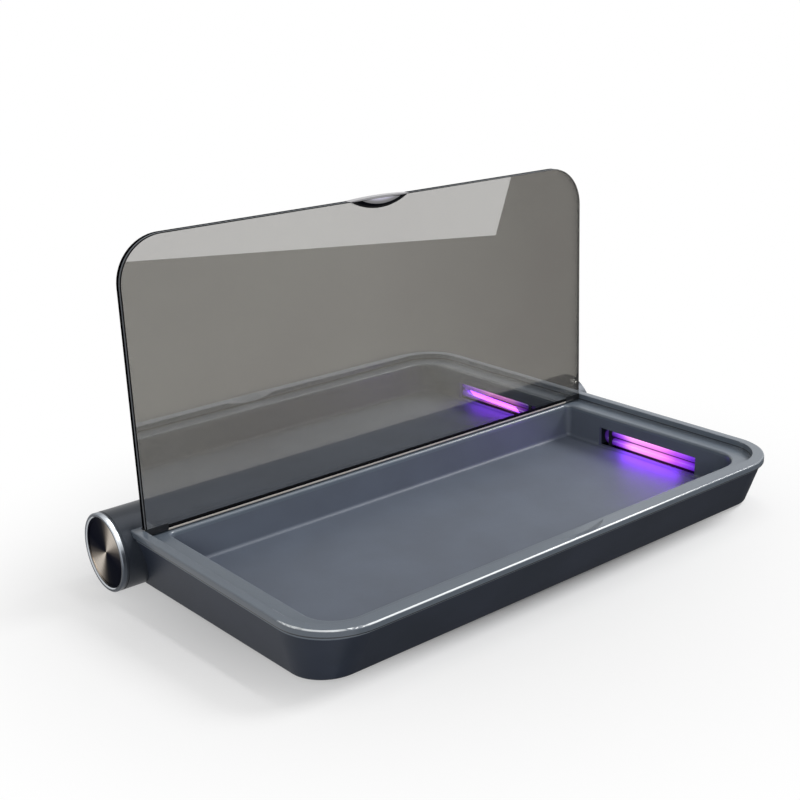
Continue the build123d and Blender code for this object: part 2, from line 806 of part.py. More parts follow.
def make_driver_board():
    start = holder_right + board_end_gap
    row, at = in_a_row(start, [
        (plug_length, plug_width, plug_height),
        (transformer_length, transformer_width, transformer_height),
        (chip_size, chip_size, chip_height)])
    pcb = board(start, driver_board_length) + row
    for _ in range(2):
        can = Cylinder(capacitor_radius, capacitor_height,
                       align=(Align.MIN, Align.CENTER, Align.MIN))
        pcb += Pos(at, barrel_y, barrel_z - board_drop) * can
        at += 2 * capacitor_radius + component_gap
    return pcb


# ---- Fasteners, feet and small parts ---------------------------------------------------
def make_housing_screws():
    screws = []
    for x, v in boss_places:
        seat = screw_seat(v)
        head = rim_rod(screw_head_radius, x, v, seat, seat - screw_head_height)
        drive = Pos(x, v, seat - screw_head_height) * extrude(
            RegularPolygon(screw_head_radius / 2, 6), amount=screw_head_height / 2)
        shank = rim_rod(screw_radius, x, v, screw_tip(v), seat)
        screws.append(in_rim(head + shank - drive))
    return Compound(screws)


def make_rubber_feet():
    feet = []
    for x, y in foot_places:
        foot = Cylinder(foot_radius, foot_thickness,
                        align=(Align.CENTER, Align.CENTER, Align.MIN))
        foot = fillet(foot.edges().sort_by(Axis.Z)[0], foot_round)
        feet.append(Pos(x, y, 0) * foot)
    return Compound(feet)


def make_reed_switch():
    v = margin - liner_wall - liner_flange - reed_radius - fit_gap
    rod = Pos(-reed_offset, v, ledge_underside - reed_radius) * (
        Rot(0, 90, 0) * Cylinder(reed_radius, reed_length))
    return in_rim(rod)


def make_catch_plate():
    v = margin - liner_wall - liner_flange - catch_width / 2 - fit_gap
    return in_rim(Pos(0, v, ledge_underside - catch_thickness / 2) * Box(
        catch_length, catch_width, catch_thickness))


pieces = {
    "lower_shell": make_lower_shell(),
    "rim_frame": make_rim_frame(),
    "cavity_liner": make_cavity_liner(),
    "lamp_tube": make_lamp_tube(),
    "lamp_base": make_lamp_base(),
    "lamp_clip": make_lamp_clip(),
    "lamp_reflector": make_lamp_reflector(),
    "lid_panel": make_lid_panel(),
    "finger_tab": make_finger_tab(),
    "finger_tab_frame": make_finger_tab_frame(),
    "lid_magnet": make_lid_magnet(),
    "pivot_block_left": make_pivot_block(-1),
    "pivot_block_right": make_pivot_block(1),
    "hinge_pins": make_hinge_pins(),
    "hinge_washers": make_hinge_washers(),
    "barrel_tube": make_barrel_tube(),
    "barrel_end_cap": make_end_cap(),
    "button_collar": make_button_collar(),
    "power_button": make_power_button(),
    "button_stem": make_button_stem(),
    "button_spring": make_button_spring(),
    "switch_carrier": make_switch_carrier(),
    "tact_switch": make_tact_switch(),
    "charging_socket": make_charging_socket(),
    "indicator_lens": make_indicator_lens(),
    "battery_cell": make_battery_cell(),
    "battery_holder": make_battery_holder(),
    "positive_contact": make_positive_contact(),
    "negative_contact": make_negative_contact(),
    "control_board": make_control_board(),
    "lamp_driver_board": make_driver_board(),
    "reed_switch": make_reed_switch(),
    "catch_plate": make_catch_plate(),
    "housing_screws": make_housing_screws(),
    "rubber_feet": make_rubber_feet(),
}

# The collar and the end cap stand out by different lengths, so the tray is a little off the
# centre of the overall box.
centring = Pos((collar_reach - cap_reach) / 2, 0, 0)
for name, piece in pieces.items():
    export_step(centring * piece, f"parts/{name}.step")
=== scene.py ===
"""A slim tray that cleans a phone with ultraviolet light, with its see-through lid open.

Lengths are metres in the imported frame: X along the barrel, Y to the back, Z up.
"""
import math

import bmesh
import bpy
from mathutils import Matrix, Vector


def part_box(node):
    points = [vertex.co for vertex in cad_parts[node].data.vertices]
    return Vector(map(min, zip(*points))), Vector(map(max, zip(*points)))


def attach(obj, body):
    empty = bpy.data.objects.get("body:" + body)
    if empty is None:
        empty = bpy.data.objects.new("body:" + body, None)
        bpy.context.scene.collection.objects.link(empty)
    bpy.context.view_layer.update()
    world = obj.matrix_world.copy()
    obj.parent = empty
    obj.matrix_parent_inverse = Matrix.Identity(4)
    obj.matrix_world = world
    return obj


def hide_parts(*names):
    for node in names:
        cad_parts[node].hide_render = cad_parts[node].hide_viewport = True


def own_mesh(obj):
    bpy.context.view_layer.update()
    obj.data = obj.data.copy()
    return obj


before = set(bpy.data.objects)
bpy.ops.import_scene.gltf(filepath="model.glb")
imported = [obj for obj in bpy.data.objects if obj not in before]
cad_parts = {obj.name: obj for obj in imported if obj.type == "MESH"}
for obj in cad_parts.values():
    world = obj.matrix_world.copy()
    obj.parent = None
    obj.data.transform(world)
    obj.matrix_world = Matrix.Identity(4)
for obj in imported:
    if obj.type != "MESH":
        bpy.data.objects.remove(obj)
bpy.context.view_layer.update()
MM = 0.001

# ---- Camera: from the front left, looking down a little over the open lid --------------
CAMERA_POSITION = Vector((-275.96, -329.23, 180.11)) * MM
CAMERA_AZIMUTH = math.radians(-39.95)
CAMERA_ELEVATION = math.radians(16.74)
CAMERA_ROLL = math.radians(-2.86)
CAMERA_LENS = 58.29            # mm, on a sensor 36 mm wide
CAMERA_SENSOR = 36
CAMERA_SHIFT_X = -0.0625
WHITE = "#ffffff"

# ---- Studio ----------------------------------------------------------------------------
SOFT_LIGHT = 0.17              # strength of the even light from all round
FLOOR_SEEN = "#fafafa"         # the floor's paint, as the eye meets it
FLOOR_BOUNCE = "#9a9a9a"       # and as it throws light back at the object
FLOOR_HALF = 8.0               # metres from the middle to the floor's edge
FADE_START = 0.04              # the floor's own shading ends here
FADE_END = 0.2                 # and plain white begins here
# A self-lit grey card on the floor, outside the picture, that only the lid and other gloss
# mirror: a painted reflection of a darker floor.
CARD_CORNERS = ((-0.1, 0.03), (-0.09, -0.1), (-0.03, -0.22), (0.02, -0.436),
                (0.355, -0.289), (1.5, -1.394), (1.5, 0.03))
CARD_HEIGHT = 0.0002
CARD_FADE = (1.0, 0.85, 0.0)       # the card darkens this way,
CARD_PALE, CARD_DARK = 0.0, 0.15   # from here to here
# Each lamp's name, place, target, width and height in metres, and power in watts.
LAMPS = (
    ("key softbox, right", (0.95, -0.3, 0.85), (0, 0, 0), (0.4, 0.4), 10.5),
    ("overhead strip, front to back", (0.31, -0.25, 1.0), (-0.1, -0.25, 0), (1.4, 0.09), 3.0),
    ("fill softbox, front left", (-0.65, -0.85, 0.4), (0, 0, 0), (0.5, 0.4), 4.2),
)
# The lamp in the tray's wall throws its own light from a small panel just before the tube.
GLOW_AHEAD = 0.0012            # the panel's place ahead of the tube
GLOW_THROW = (0.05, 0.03)      # how far ahead and down it is aimed
GLOW_SIZE = (0.03, 0.004)
GLOW_POWER = 0.006
GLOW_COLOUR = "#8030ff"

# ---- The rim's tilt and the pieces' edges ----------------------------------------------
RIM_SLOPE = math.radians(1.9)
RIM_UP = Vector((0, -math.sin(RIM_SLOPE), math.cos(RIM_SLOPE)))
RIM_BACK = Vector((0, math.cos(RIM_SLOPE), math.sin(RIM_SLOPE)))
RIM_FRONT = Vector((0, -64.55, 19.3)) * MM          # top of the rim, at its front edge
RIM_TOP = RIM_FRONT.dot(RIM_UP)
RIM_NEAR = RIM_FRONT.dot(RIM_BACK)
LID_LOW, LID_HIGH = (Vector(corner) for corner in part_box("lid_panel"))
LID_BAND = 2.4 * MM            # painted shade: a black band along the lid's hinge edge
TAB_EDGE = 0.1 * MM            # bare steel along the tab frame's top
RING_LENGTH = 1.5 * MM         # bright ring at the collar's outer end
RING_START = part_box("button_collar")[0][0] + RING_LENGTH
SMOOTH_ANGLE = math.radians(35)    # a sharper edge than this stays crisp
WELD = 0.002 * MM                  # points closer than this are one
FLAT_ANGLE = math.radians(0.5)     # faces nearer in line than this are one

# ---- Glints and shades that the finishes carry -----------------------------------------
# The lamps alone leave these soft, so a paler or darker tone draws part of each. They
# stay in place when the view changes.
RING_SHINE = (0, -0.62, 0.785)              # where the ring's painted highlight is brightest
FAN_DIRECTION = (0, -0.7, 0.714)            # the painted highlight fans lie forward and up, across the button's face
TAB_SHADE = Vector((1.1, 0, 0.45)) * MM     # the finger tab's painted shade leans away from this
LENS_SHINE = Vector((-0.3, 0, 1))           # the side of the lens with the painted highlight
# The rim's glint, along the round of its outer edge. Each pair runs from none to full.
GLINT_DEPTH = (0.42 * MM, 0.3 * MM)         # under the rim's top
GLINT_REACH = (27 * MM, 26 * MM)            # back from the front edge
GLINT_FACING = (0.02, 0.06)                 # how far the surface turns to the front
GLINT_LEAN = (0.985, 0.96)                  # cosine of its lean from the rim's flat top
GLINT_FADE = (25 * MM, 60 * MM)             # along X, it is full before this and faint after
GLINT_FAINT = 0.06
# Its strength from the tray's left side, 0, round the corner to its front, 1.
GLINT_TURN = ((0.0, 0.1), (0.15, 0.9), (0.45, 1.0), (0.62, 0.12), (0.75, 0.12), (0.88, 1.0),
              (1.0, 1.0))


def middle_of(node):
    low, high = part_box(node)
    return (Vector(low) + Vector(high)) / 2


def add_camera():
    sin_a, cos_a = math.sin(CAMERA_AZIMUTH), math.cos(CAMERA_AZIMUTH)
    sin_e, cos_e = math.sin(CAMERA_ELEVATION), math.cos(CAMERA_ELEVATION)
    back = Vector((sin_a * cos_e, -cos_a * cos_e, sin_e))
    level_right = (-back).cross(Vector((0, 0, 1))).normalized()
    level_up = level_right.cross(-back)
    right = math.cos(CAMERA_ROLL) * level_right + math.sin(CAMERA_ROLL) * level_up
    up = -math.sin(CAMERA_ROLL) * level_right + math.cos(CAMERA_ROLL) * level_up
    data = bpy.data.cameras.new("camera")
    data.lens = CAMERA_LENS
    data.sensor_width = CAMERA_SENSOR
    data.shift_x = CAMERA_SHIFT_X
    data.clip_start = 0.01
    camera = bpy.data.objects.new("camera", data)
    bpy.context.scene.collection.objects.link(camera)
    turn = Matrix((right, up, back)).transposed().to_4x4()
    camera.matrix_world = Matrix.Translation(CAMERA_POSITION) @ turn
    bpy.context.scene.camera = camera


# ---- Nodes -----------------------------------------------------------------------------
def to_linear(hex_colour):
    """An sRGB hex colour as linear RGBA."""
    parts = [int(hex_colour[i:i + 2], 16) / 255 for i in (1, 3, 5)]
    line = [p / 12.92 if p <= 0.04045 else ((p + 0.055) / 1.055) ** 2.4 for p in parts]
    return (*line, 1.0)


def add_node(tree, kind, settings=None, links=None, stops=()):
    """Add a shader node with its settings, socket values and incoming links.

    A ramp's stops are (position, hex colour or strength) pairs, in order.
    """
    node = tree.nodes.new(kind)
    for key, value in (settings or {}).items():
        if isinstance(key, str) and hasattr(node, key):
            setattr(node, key, value)
        else:
            node.inputs[key].default_value = value
    for key, source in (links or {}).items():
        tree.links.new(source, node.inputs[key])
    for index, (position, tone) in enumerate(stops):
        elements = node.color_ramp.elements
        stop = elements[index] if index < 2 else elements.new(position)
        stop.position = position
        stop.color = to_linear(tone) if isinstance(tone, str) else (tone, tone, tone, 1)
    return node


def new_material(name):
    """A material's empty tree, its output, and the place of the point being shaded."""
    material = bpy.data.materials.new(name)
    material.use_nodes = True
    tree = material.node_tree
    tree.nodes.clear()
    output = add_node(tree, "ShaderNodeOutputMaterial")
    return material, tree, output, add_node(tree, "ShaderNodeTexCoord")


def level_along(tree, place, way, start, end):
    """0 before a start and 1 after an end, measured along a direction."""
    along = add_node(tree, "ShaderNodeVectorMath", {"operation": "DOT_PRODUCT", 1: way},
                     {0: place})
    return add_node(tree, "ShaderNodeMapRange", {"From Min": start, "From Max": end},
                    {"Value": along.outputs["Value"]}).outputs["Result"]


def away_from(tree, place, middle, spread):
    """The way out from a middle point, flattened by a spread such as (0, 1, 1)."""
    moved = add_node(tree, "ShaderNodeMapping", {"Location": -middle}, {"Vector": place})
    return add_node(tree, "ShaderNodeVectorMath", {"operation": "MULTIPLY", 1: spread},
                    {0: moved.outputs["Vector"]}).outputs["Vector"]


def narrow_band(tree, place, tone, band_colour, stops, way=RIM_UP, start=RIM_TOP):
    """Tone a narrow band that lies across a direction, such as a height from the rim's top. It
    draws painted highlights and a painted shade line.

    The stops are (place in mm, strength) pairs, lowest first.
    """
    low, high = stops[0][0], stops[-1][0]
    level = level_along(tree, place, way, start + low * MM, start + high * MM)
    strength = add_node(tree, "ShaderNodeValToRGB", links={"Fac": level},
                        stops=[((at - low) / (high - low), amount) for at, amount in stops])
    mix = add_node(tree, "ShaderNodeMix", {"data_type": "RGBA", 7: to_linear(band_colour)},
                   {0: strength.outputs["Color"], 6: tone})
    return mix.outputs[2]


def rim_glint(tree, place, tone):
    """Painted highlight: a pale line on the round of the rim's outer edge, round the left
    corner and the front.
    """
    normal = place.outputs["Normal"]
    across = add_node(tree, "ShaderNodeVectorMath", {"operation": "MULTIPLY", 1: (1, 1, 0)},
                      {0: normal})
    outward = add_node(tree, "ShaderNodeVectorMath", {"operation": "NORMALIZE"},
                       {0: across.outputs["Vector"]})
    turn = level_along(tree, outward.outputs["Vector"], (1, 0, 0), -1.0, 0.0)
    shine = add_node(tree, "ShaderNodeValToRGB", links={"Fac": turn}, stops=GLINT_TURN)
    fade = add_node(tree, "ShaderNodeMapRange", {"To Min": 1.0, "To Max": GLINT_FAINT},
                    {"Value": level_along(tree, place.outputs["Object"], (1, 0, 0),
                                          *GLINT_FADE)})
    strength = shine.outputs["Color"]
    for mask in (
            level_along(tree, place.outputs["Object"], RIM_UP,
                        *(RIM_TOP - depth for depth in GLINT_DEPTH)),
            level_along(tree, place.outputs["Object"], -RIM_BACK,
                        *(-RIM_NEAR - reach for reach in GLINT_REACH)),
            level_along(tree, normal, (0, -1, 0), *GLINT_FACING),
            level_along(tree, normal, -RIM_UP, *(-lean for lean in GLINT_LEAN)),
            fade.outputs["Result"]):
        strength = add_node(tree, "ShaderNodeMath", {"operation": "MULTIPLY"},
                            {0: strength, 1: mask}).outputs[0]
    mix = add_node(tree, "ShaderNodeMix", {"data_type": "RGBA", 7: to_linear("#f4f8fa")},
                   {0: strength, 6: tone})
    return mix.outputs[2]


# ---- Materials -------------------------------------------------------------------------
def grained_plastic(name, dark, light, roughness, grain_mm, bump, sheen=0.5, band=None):
    """Opaque plastic or rubber: a fine surface grain with faint, slow shifts of tone."""
    material, tree, output, place = new_material(name)
    point = place.outputs["Object"]
    mottle = add_node(tree, "ShaderNodeTexNoise", {"Scale": 1 / (18 * MM), "Detail": 3.0},
                      {"Vector": point})
    tone = add_node(tree, "ShaderNodeValToRGB", links={"Fac": mottle.outputs["Fac"]},
                    stops=((0.3, dark), (0.7, light))).outputs["Color"]
    # The band is a painted highlight: a narrow paler line across the surface.
    if band:
        tone = narrow_band(tree, point, tone, *band)
    grain = add_node(tree, "ShaderNodeTexNoise",
                     {"Scale": 1 / (grain_mm * MM), "Detail": 2.0, "Roughness": 0.6},
                     {"Vector": point})
    rough = add_node(tree, "ShaderNodeMapRange",
                     {"To Min": roughness - 0.05, "To Max": roughness + 0.05},
                     {"Value": grain.outputs["Fac"]})
    relief = add_node(tree, "ShaderNodeBump",
                      {"Strength": bump, "Distance": grain_mm * MM * 0.2},
                      {"Height": grain.outputs["Fac"]})
    surface = add_node(tree, "ShaderNodeBsdfPrincipled",
                       {"IOR": 1.5, "Specular IOR Level": sheen},
                       {"Base Color": tone, "Roughness": rough.outputs["Result"],
                        "Normal": relief.outputs["Normal"]})
    tree.links.new(surface.outputs["BSDF"], output.inputs["Surface"])
    return material


def painted_slate(name, base, flake, roughness, bump, metallic=0.0, coat=0.0, sheen=0.5,
                  band=None, glint=False):
    """Satin paint sprayed over a smooth moulding: a soft sheen with a fine pearl flake.

    A real flake is some 0.05 mm; it is drawn at 0.12 mm, so that it shows.
    """
    material, tree, output, place = new_material(name)
    point = place.outputs["Object"]
    flake_size = 0.12 * MM
    speck = add_node(tree, "ShaderNodeTexNoise", {"Scale": 1 / flake_size, "Detail": 1.0},
                     {"Vector": point})
    cloud = add_node(tree, "ShaderNodeTexNoise", {"Scale": 1 / (25 * MM), "Detail": 2.0},
                     {"Vector": point})
    # The flakes grow a little denser and thinner in slow clouds.
    density = add_node(tree, "ShaderNodeMath",
                       {"operation": "MULTIPLY_ADD", 1: 0.35, 2: 0.33},
                       {0: cloud.outputs["Fac"]})
    flakes = add_node(tree, "ShaderNodeMath", {"operation": "MULTIPLY"},
                      {0: density.outputs[0], 1: speck.outputs["Fac"]})
    tone = add_node(tree, "ShaderNodeValToRGB", links={"Fac": flakes.outputs[0]},
                    stops=((0.12, base), (0.42, flake))).outputs["Color"]
    # The band is painted shade: a dark seam line under the rim's edge.
    if band:
        tone = narrow_band(tree, point, tone, *band)
    # A painted highlight along the round of the rim's outer edge.
    if glint:
        tone = rim_glint(tree, place, tone)
    relief = add_node(tree, "ShaderNodeBump",
                      {"Strength": bump, "Distance": flake_size * 0.15},
                      {"Height": speck.outputs["Fac"]})
    surface = add_node(tree, "ShaderNodeBsdfPrincipled",
                       {"Metallic": metallic, "Coat Weight": coat, "Coat Roughness": 0.1,
                        "Roughness": roughness, "Specular IOR Level": sheen},
                       {"Base Color": tone, "Normal": relief.outputs["Normal"]})
    tree.links.new(surface.outputs["BSDF"], output.inputs["Surface"])
    return material


def half_mirror_acrylic():
    """Smoke-tinted cast acrylic with a thin mirror coating: see-through, and reflects.

    The coat's high IOR sends back some 30 % of what meets it straight on.
    """
    material, tree, output, place = new_material("Cast acrylic, smoke tint, half-mirror coated")
    haze = add_node(tree, "ShaderNodeTexNoise", {"Scale": 1 / (60 * MM), "Detail": 2.0},
                    {"Vector": place.outputs["Object"]})
    tint = add_node(tree, "ShaderNodeValToRGB", links={"Fac": haze.outputs["Fac"]},
                    stops=((0.3, "#807d78"), (0.7, "#84827c")))
    surface = add_node(tree, "ShaderNodeBsdfPrincipled",
                       {"Transmission Weight": 1.0, "IOR": 1.49, "Roughness": 0.0,
                        "Coat Weight": 1.0, "Coat IOR": 3.4, "Coat Roughness": 0.01},
                       {"Base Color": tint.outputs["Color"]})
    tree.links.new(surface.outputs["BSDF"], output.inputs["Surface"])
    return material


def plain_metal(name, colour, roughness):
    """Bare or plated metal: a clean gleam, blurred by faint tool marks."""
    material, tree, output, place = new_material(name)
    marks = add_node(tree, "ShaderNodeTexNoise", {"Scale": 1 / (0.4 * MM), "Detail": 3.0},
                     {"Vector": place.outputs["Object"]})
    rough = add_node(tree, "ShaderNodeMapRange",
                     {"To Min": roughness - 0.06, "To Max": roughness + 0.06},
                     {"Value": marks.outputs["Fac"]})
    relief = add_node(tree, "ShaderNodeBump", {"Strength": 0.05, "Distance": 0.02 * MM},
                      {"Height": marks.outputs["Fac"]})
    surface = add_node(tree, "ShaderNodeBsdfPrincipled",
                       {"Metallic": 1.0, "Base Color": to_linear(colour)},
                       {"Roughness": rough.outputs["Result"],
                        "Normal": relief.outputs["Normal"]})
    tree.links.new(surface.outputs["BSDF"], output.inputs["Surface"])
    return material


def turned_ring():
    """Aluminium cut on a lathe: grey, with one long painted highlight, a bright arc, in its
    tone.
    """
    material, tree, output, place = new_material("Aluminium, diamond-cut, anodised")
    point = place.outputs["Object"]
    outward = add_node(tree, "ShaderNodeVectorMath", {"operation": "NORMALIZE"},
                       {0: away_from(tree, point, middle_of("button_collar"), (0, 1, 1))})
    toward = add_node(tree, "ShaderNodeVectorMath",
                      {"operation": "DOT_PRODUCT", 1: RING_SHINE},
                      {0: outward.outputs["Vector"]})
    tone = add_node(tree, "ShaderNodeValToRGB", links={"Fac": toward.outputs["Value"]},
                    stops=((0.1, "#565b64"), (0.5, "#5a6068"), (0.8, "#8b9199"),
                           (0.97, "#dce1e6")))
    marks = add_node(tree, "ShaderNodeTexNoise", {"Scale": 1 / (0.4 * MM), "Detail": 3.0},
                     {"Vector": point})
    rough = add_node(tree, "ShaderNodeMapRange", {"To Min": 0.24, "To Max": 0.36},
                     {"Value": marks.outputs["Fac"]})
    surface = add_node(tree, "ShaderNodeBsdfPrincipled",
                       {"Metallic": 1.0, "Anisotropic": 0.3},
                       {"Base Color": tone.outputs["Color"],
                        "Roughness": rough.outputs["Result"]})
    tree.links.new(surface.outputs["BSDF"], output.inputs["Surface"])
    return material


def dished_steel():
    """Satin stainless steel, pressed to a dish: a painted highlight, pale to lavender, and
    painted shade round one side.
    """
    material, tree, output, place = new_material("Stainless steel, pressed, satin")
    low, high = (Vector(corner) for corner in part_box("finger_tab"))
    half = (high.x - low.x) / 2
    depth = high.z - low.z
    radius = (half ** 2 + depth ** 2) / (2 * depth)
    middle = Vector(((low.x + high.x) / 2, 0, low.z + radius)) + TAB_SHADE
    away = add_node(tree, "ShaderNodeVectorMath", {"operation": "LENGTH"},
                    {0: away_from(tree, place.outputs["Object"], middle, (1, 0, 1))})
    level = add_node(tree, "ShaderNodeMapRange",
                     {"From Min": radius - depth, "From Max": radius},
                     {"Value": away.outputs["Value"]})
    tone = add_node(tree, "ShaderNodeValToRGB", links={"Fac": level.outputs["Result"]},
                    stops=((0.0, "#b9b8bd"), (0.3, "#dcdaec"), (0.66, "#98979a"),
                           (0.91, "#8a898c"), (0.96, "#0a0b10"), (1.0, "#0a0b10")))
    surface = add_node(tree, "ShaderNodeBsdfPrincipled", {"Metallic": 1.0, "Roughness": 0.3},
                       {"Base Color": tone.outputs["Color"]})
    tree.links.new(surface.outputs["BSDF"], output.inputs["Surface"])
    return material


def smoked_dome():
    """Smoked polycarbonate dome, polished: near black, with a painted highlight, a pale
    crescent, on one side.
    """
    material, tree, output, place = new_material("Polycarbonate, smoked, polished dome")
    low, high = (Vector(corner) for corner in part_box("indicator_lens"))
    middle = LENS_SHINE.dot(middle_of("indicator_lens"))
    reach = (high.z - low.z) / 2
    level = level_along(tree, place.outputs["Object"], LENS_SHINE, middle - reach,
                        middle + reach)
    tone = add_node(tree, "ShaderNodeValToRGB", links={"Fac": level},
                    stops=((0.6, "#0c0d10"), (0.78, "#e4e8ec")))
    surface = add_node(tree, "ShaderNodeBsdfPrincipled",
                       {"Roughness": 0.08, "Coat Weight": 1.0},
                       {"Base Color": tone.outputs["Color"]})
    tree.links.new(surface.outputs["BSDF"], output.inputs["Surface"])
    return material


def spun_aluminium():
    """Lathe-spun aluminium: fine rings, and painted highlights, two beige fans, with painted
    dark between them.
    """
    material, tree, output, place = new_material("Aluminium, lathe-spun face")
    flat = away_from(tree, place.outputs["Object"], middle_of("power_button"), (0, 1, 1))
    radius = add_node(tree, "ShaderNodeVectorMath", {"operation": "LENGTH"}, {0: flat})
    outward = add_node(tree, "ShaderNodeVectorMath", {"operation": "NORMALIZE"}, {0: flat})
    along = add_node(tree, "ShaderNodeVectorMath",
                     {"operation": "DOT_PRODUCT", 1: FAN_DIRECTION},
                     {0: outward.outputs["Vector"]})
    fan = add_node(tree, "ShaderNodeMath", {"operation": "ABSOLUTE"},
                   {0: along.outputs["Value"]})
    # Real turning marks are some 0.1 mm apart; they are drawn at 0.35 mm, to show.
    rings = add_node(tree, "ShaderNodeTexNoise",
                     {"noise_dimensions": "1D", "Scale": 1 / (0.35 * MM), "Detail": 3.0,
                      "Roughness": 0.7},
                     {"W": radius.outputs["Value"]})
    swing = add_node(tree, "ShaderNodeMath",
                     {"operation": "MULTIPLY_ADD", 1: 0.1, 2: -0.05},
                     {0: rings.outputs["Fac"]})
    spread = add_node(tree, "ShaderNodeMath", {"operation": "ADD"},
                      {0: fan.outputs[0], 1: swing.outputs[0]})
    tone = add_node(tree, "ShaderNodeValToRGB", links={"Fac": spread.outputs[0]},
                    stops=((0.4, "#222327"), (0.7, "#2f2f31"), (0.84, "#57534f"),
                           (0.93, "#978f85"), (1.0, "#e6dccf")))
    relief = add_node(tree, "ShaderNodeBump", {"Strength": 0.25, "Distance": 0.03 * MM},
                      {"Height": rings.outputs["Fac"]})
    tangent = add_node(tree, "ShaderNodeTangent", {"direction_type": "RADIAL", "axis": "X"})
    surface = add_node(tree, "ShaderNodeBsdfPrincipled",
                       {"Metallic": 1.0, "Roughness": 0.3, "Anisotropic": 0.85,
                        "Specular Tint": to_linear("#aaaaad")},
                       {"Base Color": tone.outputs["Color"],
                        "Normal": relief.outputs["Normal"],
                        "Tangent": tangent.outputs["Tangent"]})
    tree.links.new(surface.outputs["BSDF"], output.inputs["Surface"])
    return material


def lit_lamp_glass():
    """Quartz lamp tube with its gas alight: pink-white along the runs, violet at its ends."""
    material, tree, output, place = new_material("Quartz lamp tube, alight")
    low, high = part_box("lamp_tube")
    along = level_along(tree, place.outputs["Object"], (0, 1, 0), low[1], high[1])
    glow = add_node(tree, "ShaderNodeValToRGB", links={"Fac": along},
                    stops=((0.04, "#3a1470"), (0.12, "#6a28c8"), (0.27, "#b04cf0"),
                           (0.42, "#ff86f4"), (0.7, "#ff9cf8"), (0.8, "#a046e8"),
                           (0.87, "#5a24a8"), (0.93, "#2c1258")))
    # The glass wall dims the glow where the eye meets the tube edge-on.
    facing = add_node(tree, "ShaderNodeLayerWeight", {"Blend": 0.35})
    core = add_node(tree, "ShaderNodeMapRange",
                    {"From Min": 0.0, "From Max": 0.8, "To Min": 1.6, "To Max": 0.35},
                    {"Value": facing.outputs["Facing"]})
    surface = add_node(tree, "ShaderNodeBsdfPrincipled",
                       {"Base Color": to_linear("#2a1440"), "Roughness": 0.08,
                        "Coat Weight": 0.3},
                       {"Emission Color": glow.outputs["Color"],
                        "Emission Strength": core.outputs["Result"]})
    tree.links.new(surface.outputs["BSDF"], output.inputs["Surface"])
    return material


# ---- Pieces ----------------------------------------------------------------------------
def finish_piece(mesh, name, materials):
    """Turn a bmesh into an object at the origin with its material slots."""
    data = bpy.data.meshes.new(name)
    mesh.to_mesh(data)
    mesh.free()
    for material in materials:
        data.materials.append(material)
    piece = bpy.data.objects.new(name, data)
    bpy.context.scene.collection.objects.link(piece)
    return piece


def copy_of_node(node, name, materials, body, pick_slot=None, cuts=()):
    """A merged copy of a CAD node that stands for it, with slots picked face by face.

    Each cut is a (point, normal) plane that parts the faces that lie across it.
    """
    mesh = bmesh.new()
    mesh.from_mesh(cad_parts[node].data)
    bmesh.ops.remove_doubles(mesh, verts=mesh.verts, dist=WELD)
    bmesh.ops.dissolve_limit(mesh, angle_limit=FLAT_ANGLE, verts=mesh.verts,
                             edges=mesh.edges)
    for point, normal in cuts:
        bmesh.ops.bisect_plane(mesh, geom=mesh.verts[:] + mesh.edges[:] + mesh.faces[:],
                               plane_co=point, plane_no=normal)
    for face in mesh.faces:
        face.smooth = True
        face.material_index = pick_slot(face) if pick_slot else 0
    for edge in mesh.edges:
        edge.smooth = len(edge.link_faces) == 2 and edge.calc_face_angle(0) < SMOOTH_ANGLE
    piece = finish_piece(mesh, name, materials)
    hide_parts(node)
    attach(piece, body)
    return piece


def dress(node, material):
    """Give a CAD node its finish."""
    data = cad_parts[node].data
    data.materials.clear()
    data.materials.append(material)


# The slots of the lid's sheet, and how far a face's normal leans to belong to each.
CLEAR, MILLED_EDGE, CHAMFER, FOOT_LINE = range(4)
BROAD_FACE = 0.98              # nearly straight forward or back
ON_CHAMFER = 0.2               # at least this much forward or back
ON_FOOT = 0.3                  # forward more than this, and sideways less
RIGHT_END = 0.15               # to the right more than this


def lid_slot(face):
    """Clear over its broad faces and right end, dark round the edge, and a painted shade band
    by the hinge.
    """
    facing = face.normal.dot(-RIM_BACK)
    low = face.calc_center_median().z < LID_LOW.z + LID_BAND
    if abs(facing) > BROAD_FACE:
        return CHAMFER if low else CLEAR
    if low and facing > ON_FOOT and abs(face.normal.x) < ON_FOOT:
        return FOOT_LINE
    if face.normal.x >= RIGHT_END:
        return CLEAR
    return CHAMFER if abs(facing) > ON_CHAMFER else MILLED_EDGE


# The slots of the tab's frame.
BLACK_FRAME, STEEL_EDGE = range(2)


def tab_frame_slot(face):
    """The black frame shows below the tab, and bare steel along the lid's own edge."""
    high = face.calc_center_median().z > LID_HIGH.z - TAB_EDGE
    return STEEL_EDGE if high else BLACK_FRAME


# The slots of the collar, and how far a face turns out from its middle, or in to it.
WITHIN, BRIGHT_RING, PAINTED, INNER_EDGE = range(4)
TURNED = 0.4


def collar_slot(face):
    """Cut bright round the end ring and its inner edge, painted behind, anodised within."""
    centre = face.calc_center_median()
    outward = centre - middle_of("button_collar")
    outward.x = 0
    turned_out = face.normal.dot(outward.normalized())
    if turned_out < -TURNED and centre.x < RING_START:
        return INNER_EDGE
    if turned_out < TURNED:
        return WITHIN
    return BRIGHT_RING if centre.x < RING_START else PAINTED


# ---- Light and floor -------------------------------------------------------------------
def add_area_light(name, place, target, size, power, colour=WHITE):
    data = bpy.data.lights.new(name, "AREA")
    data.shape = "RECTANGLE"
    data.size, data.size_y = size
    data.energy = power
    data.color = to_linear(colour)[:3]
    light = bpy.data.objects.new(name, data)
    bpy.context.scene.collection.objects.link(light)
    aim = (Vector(target) - Vector(place)).to_track_quat("-Z", "Y")
    light.matrix_world = Matrix.Translation(Vector(place)) @ aim.to_matrix().to_4x4()


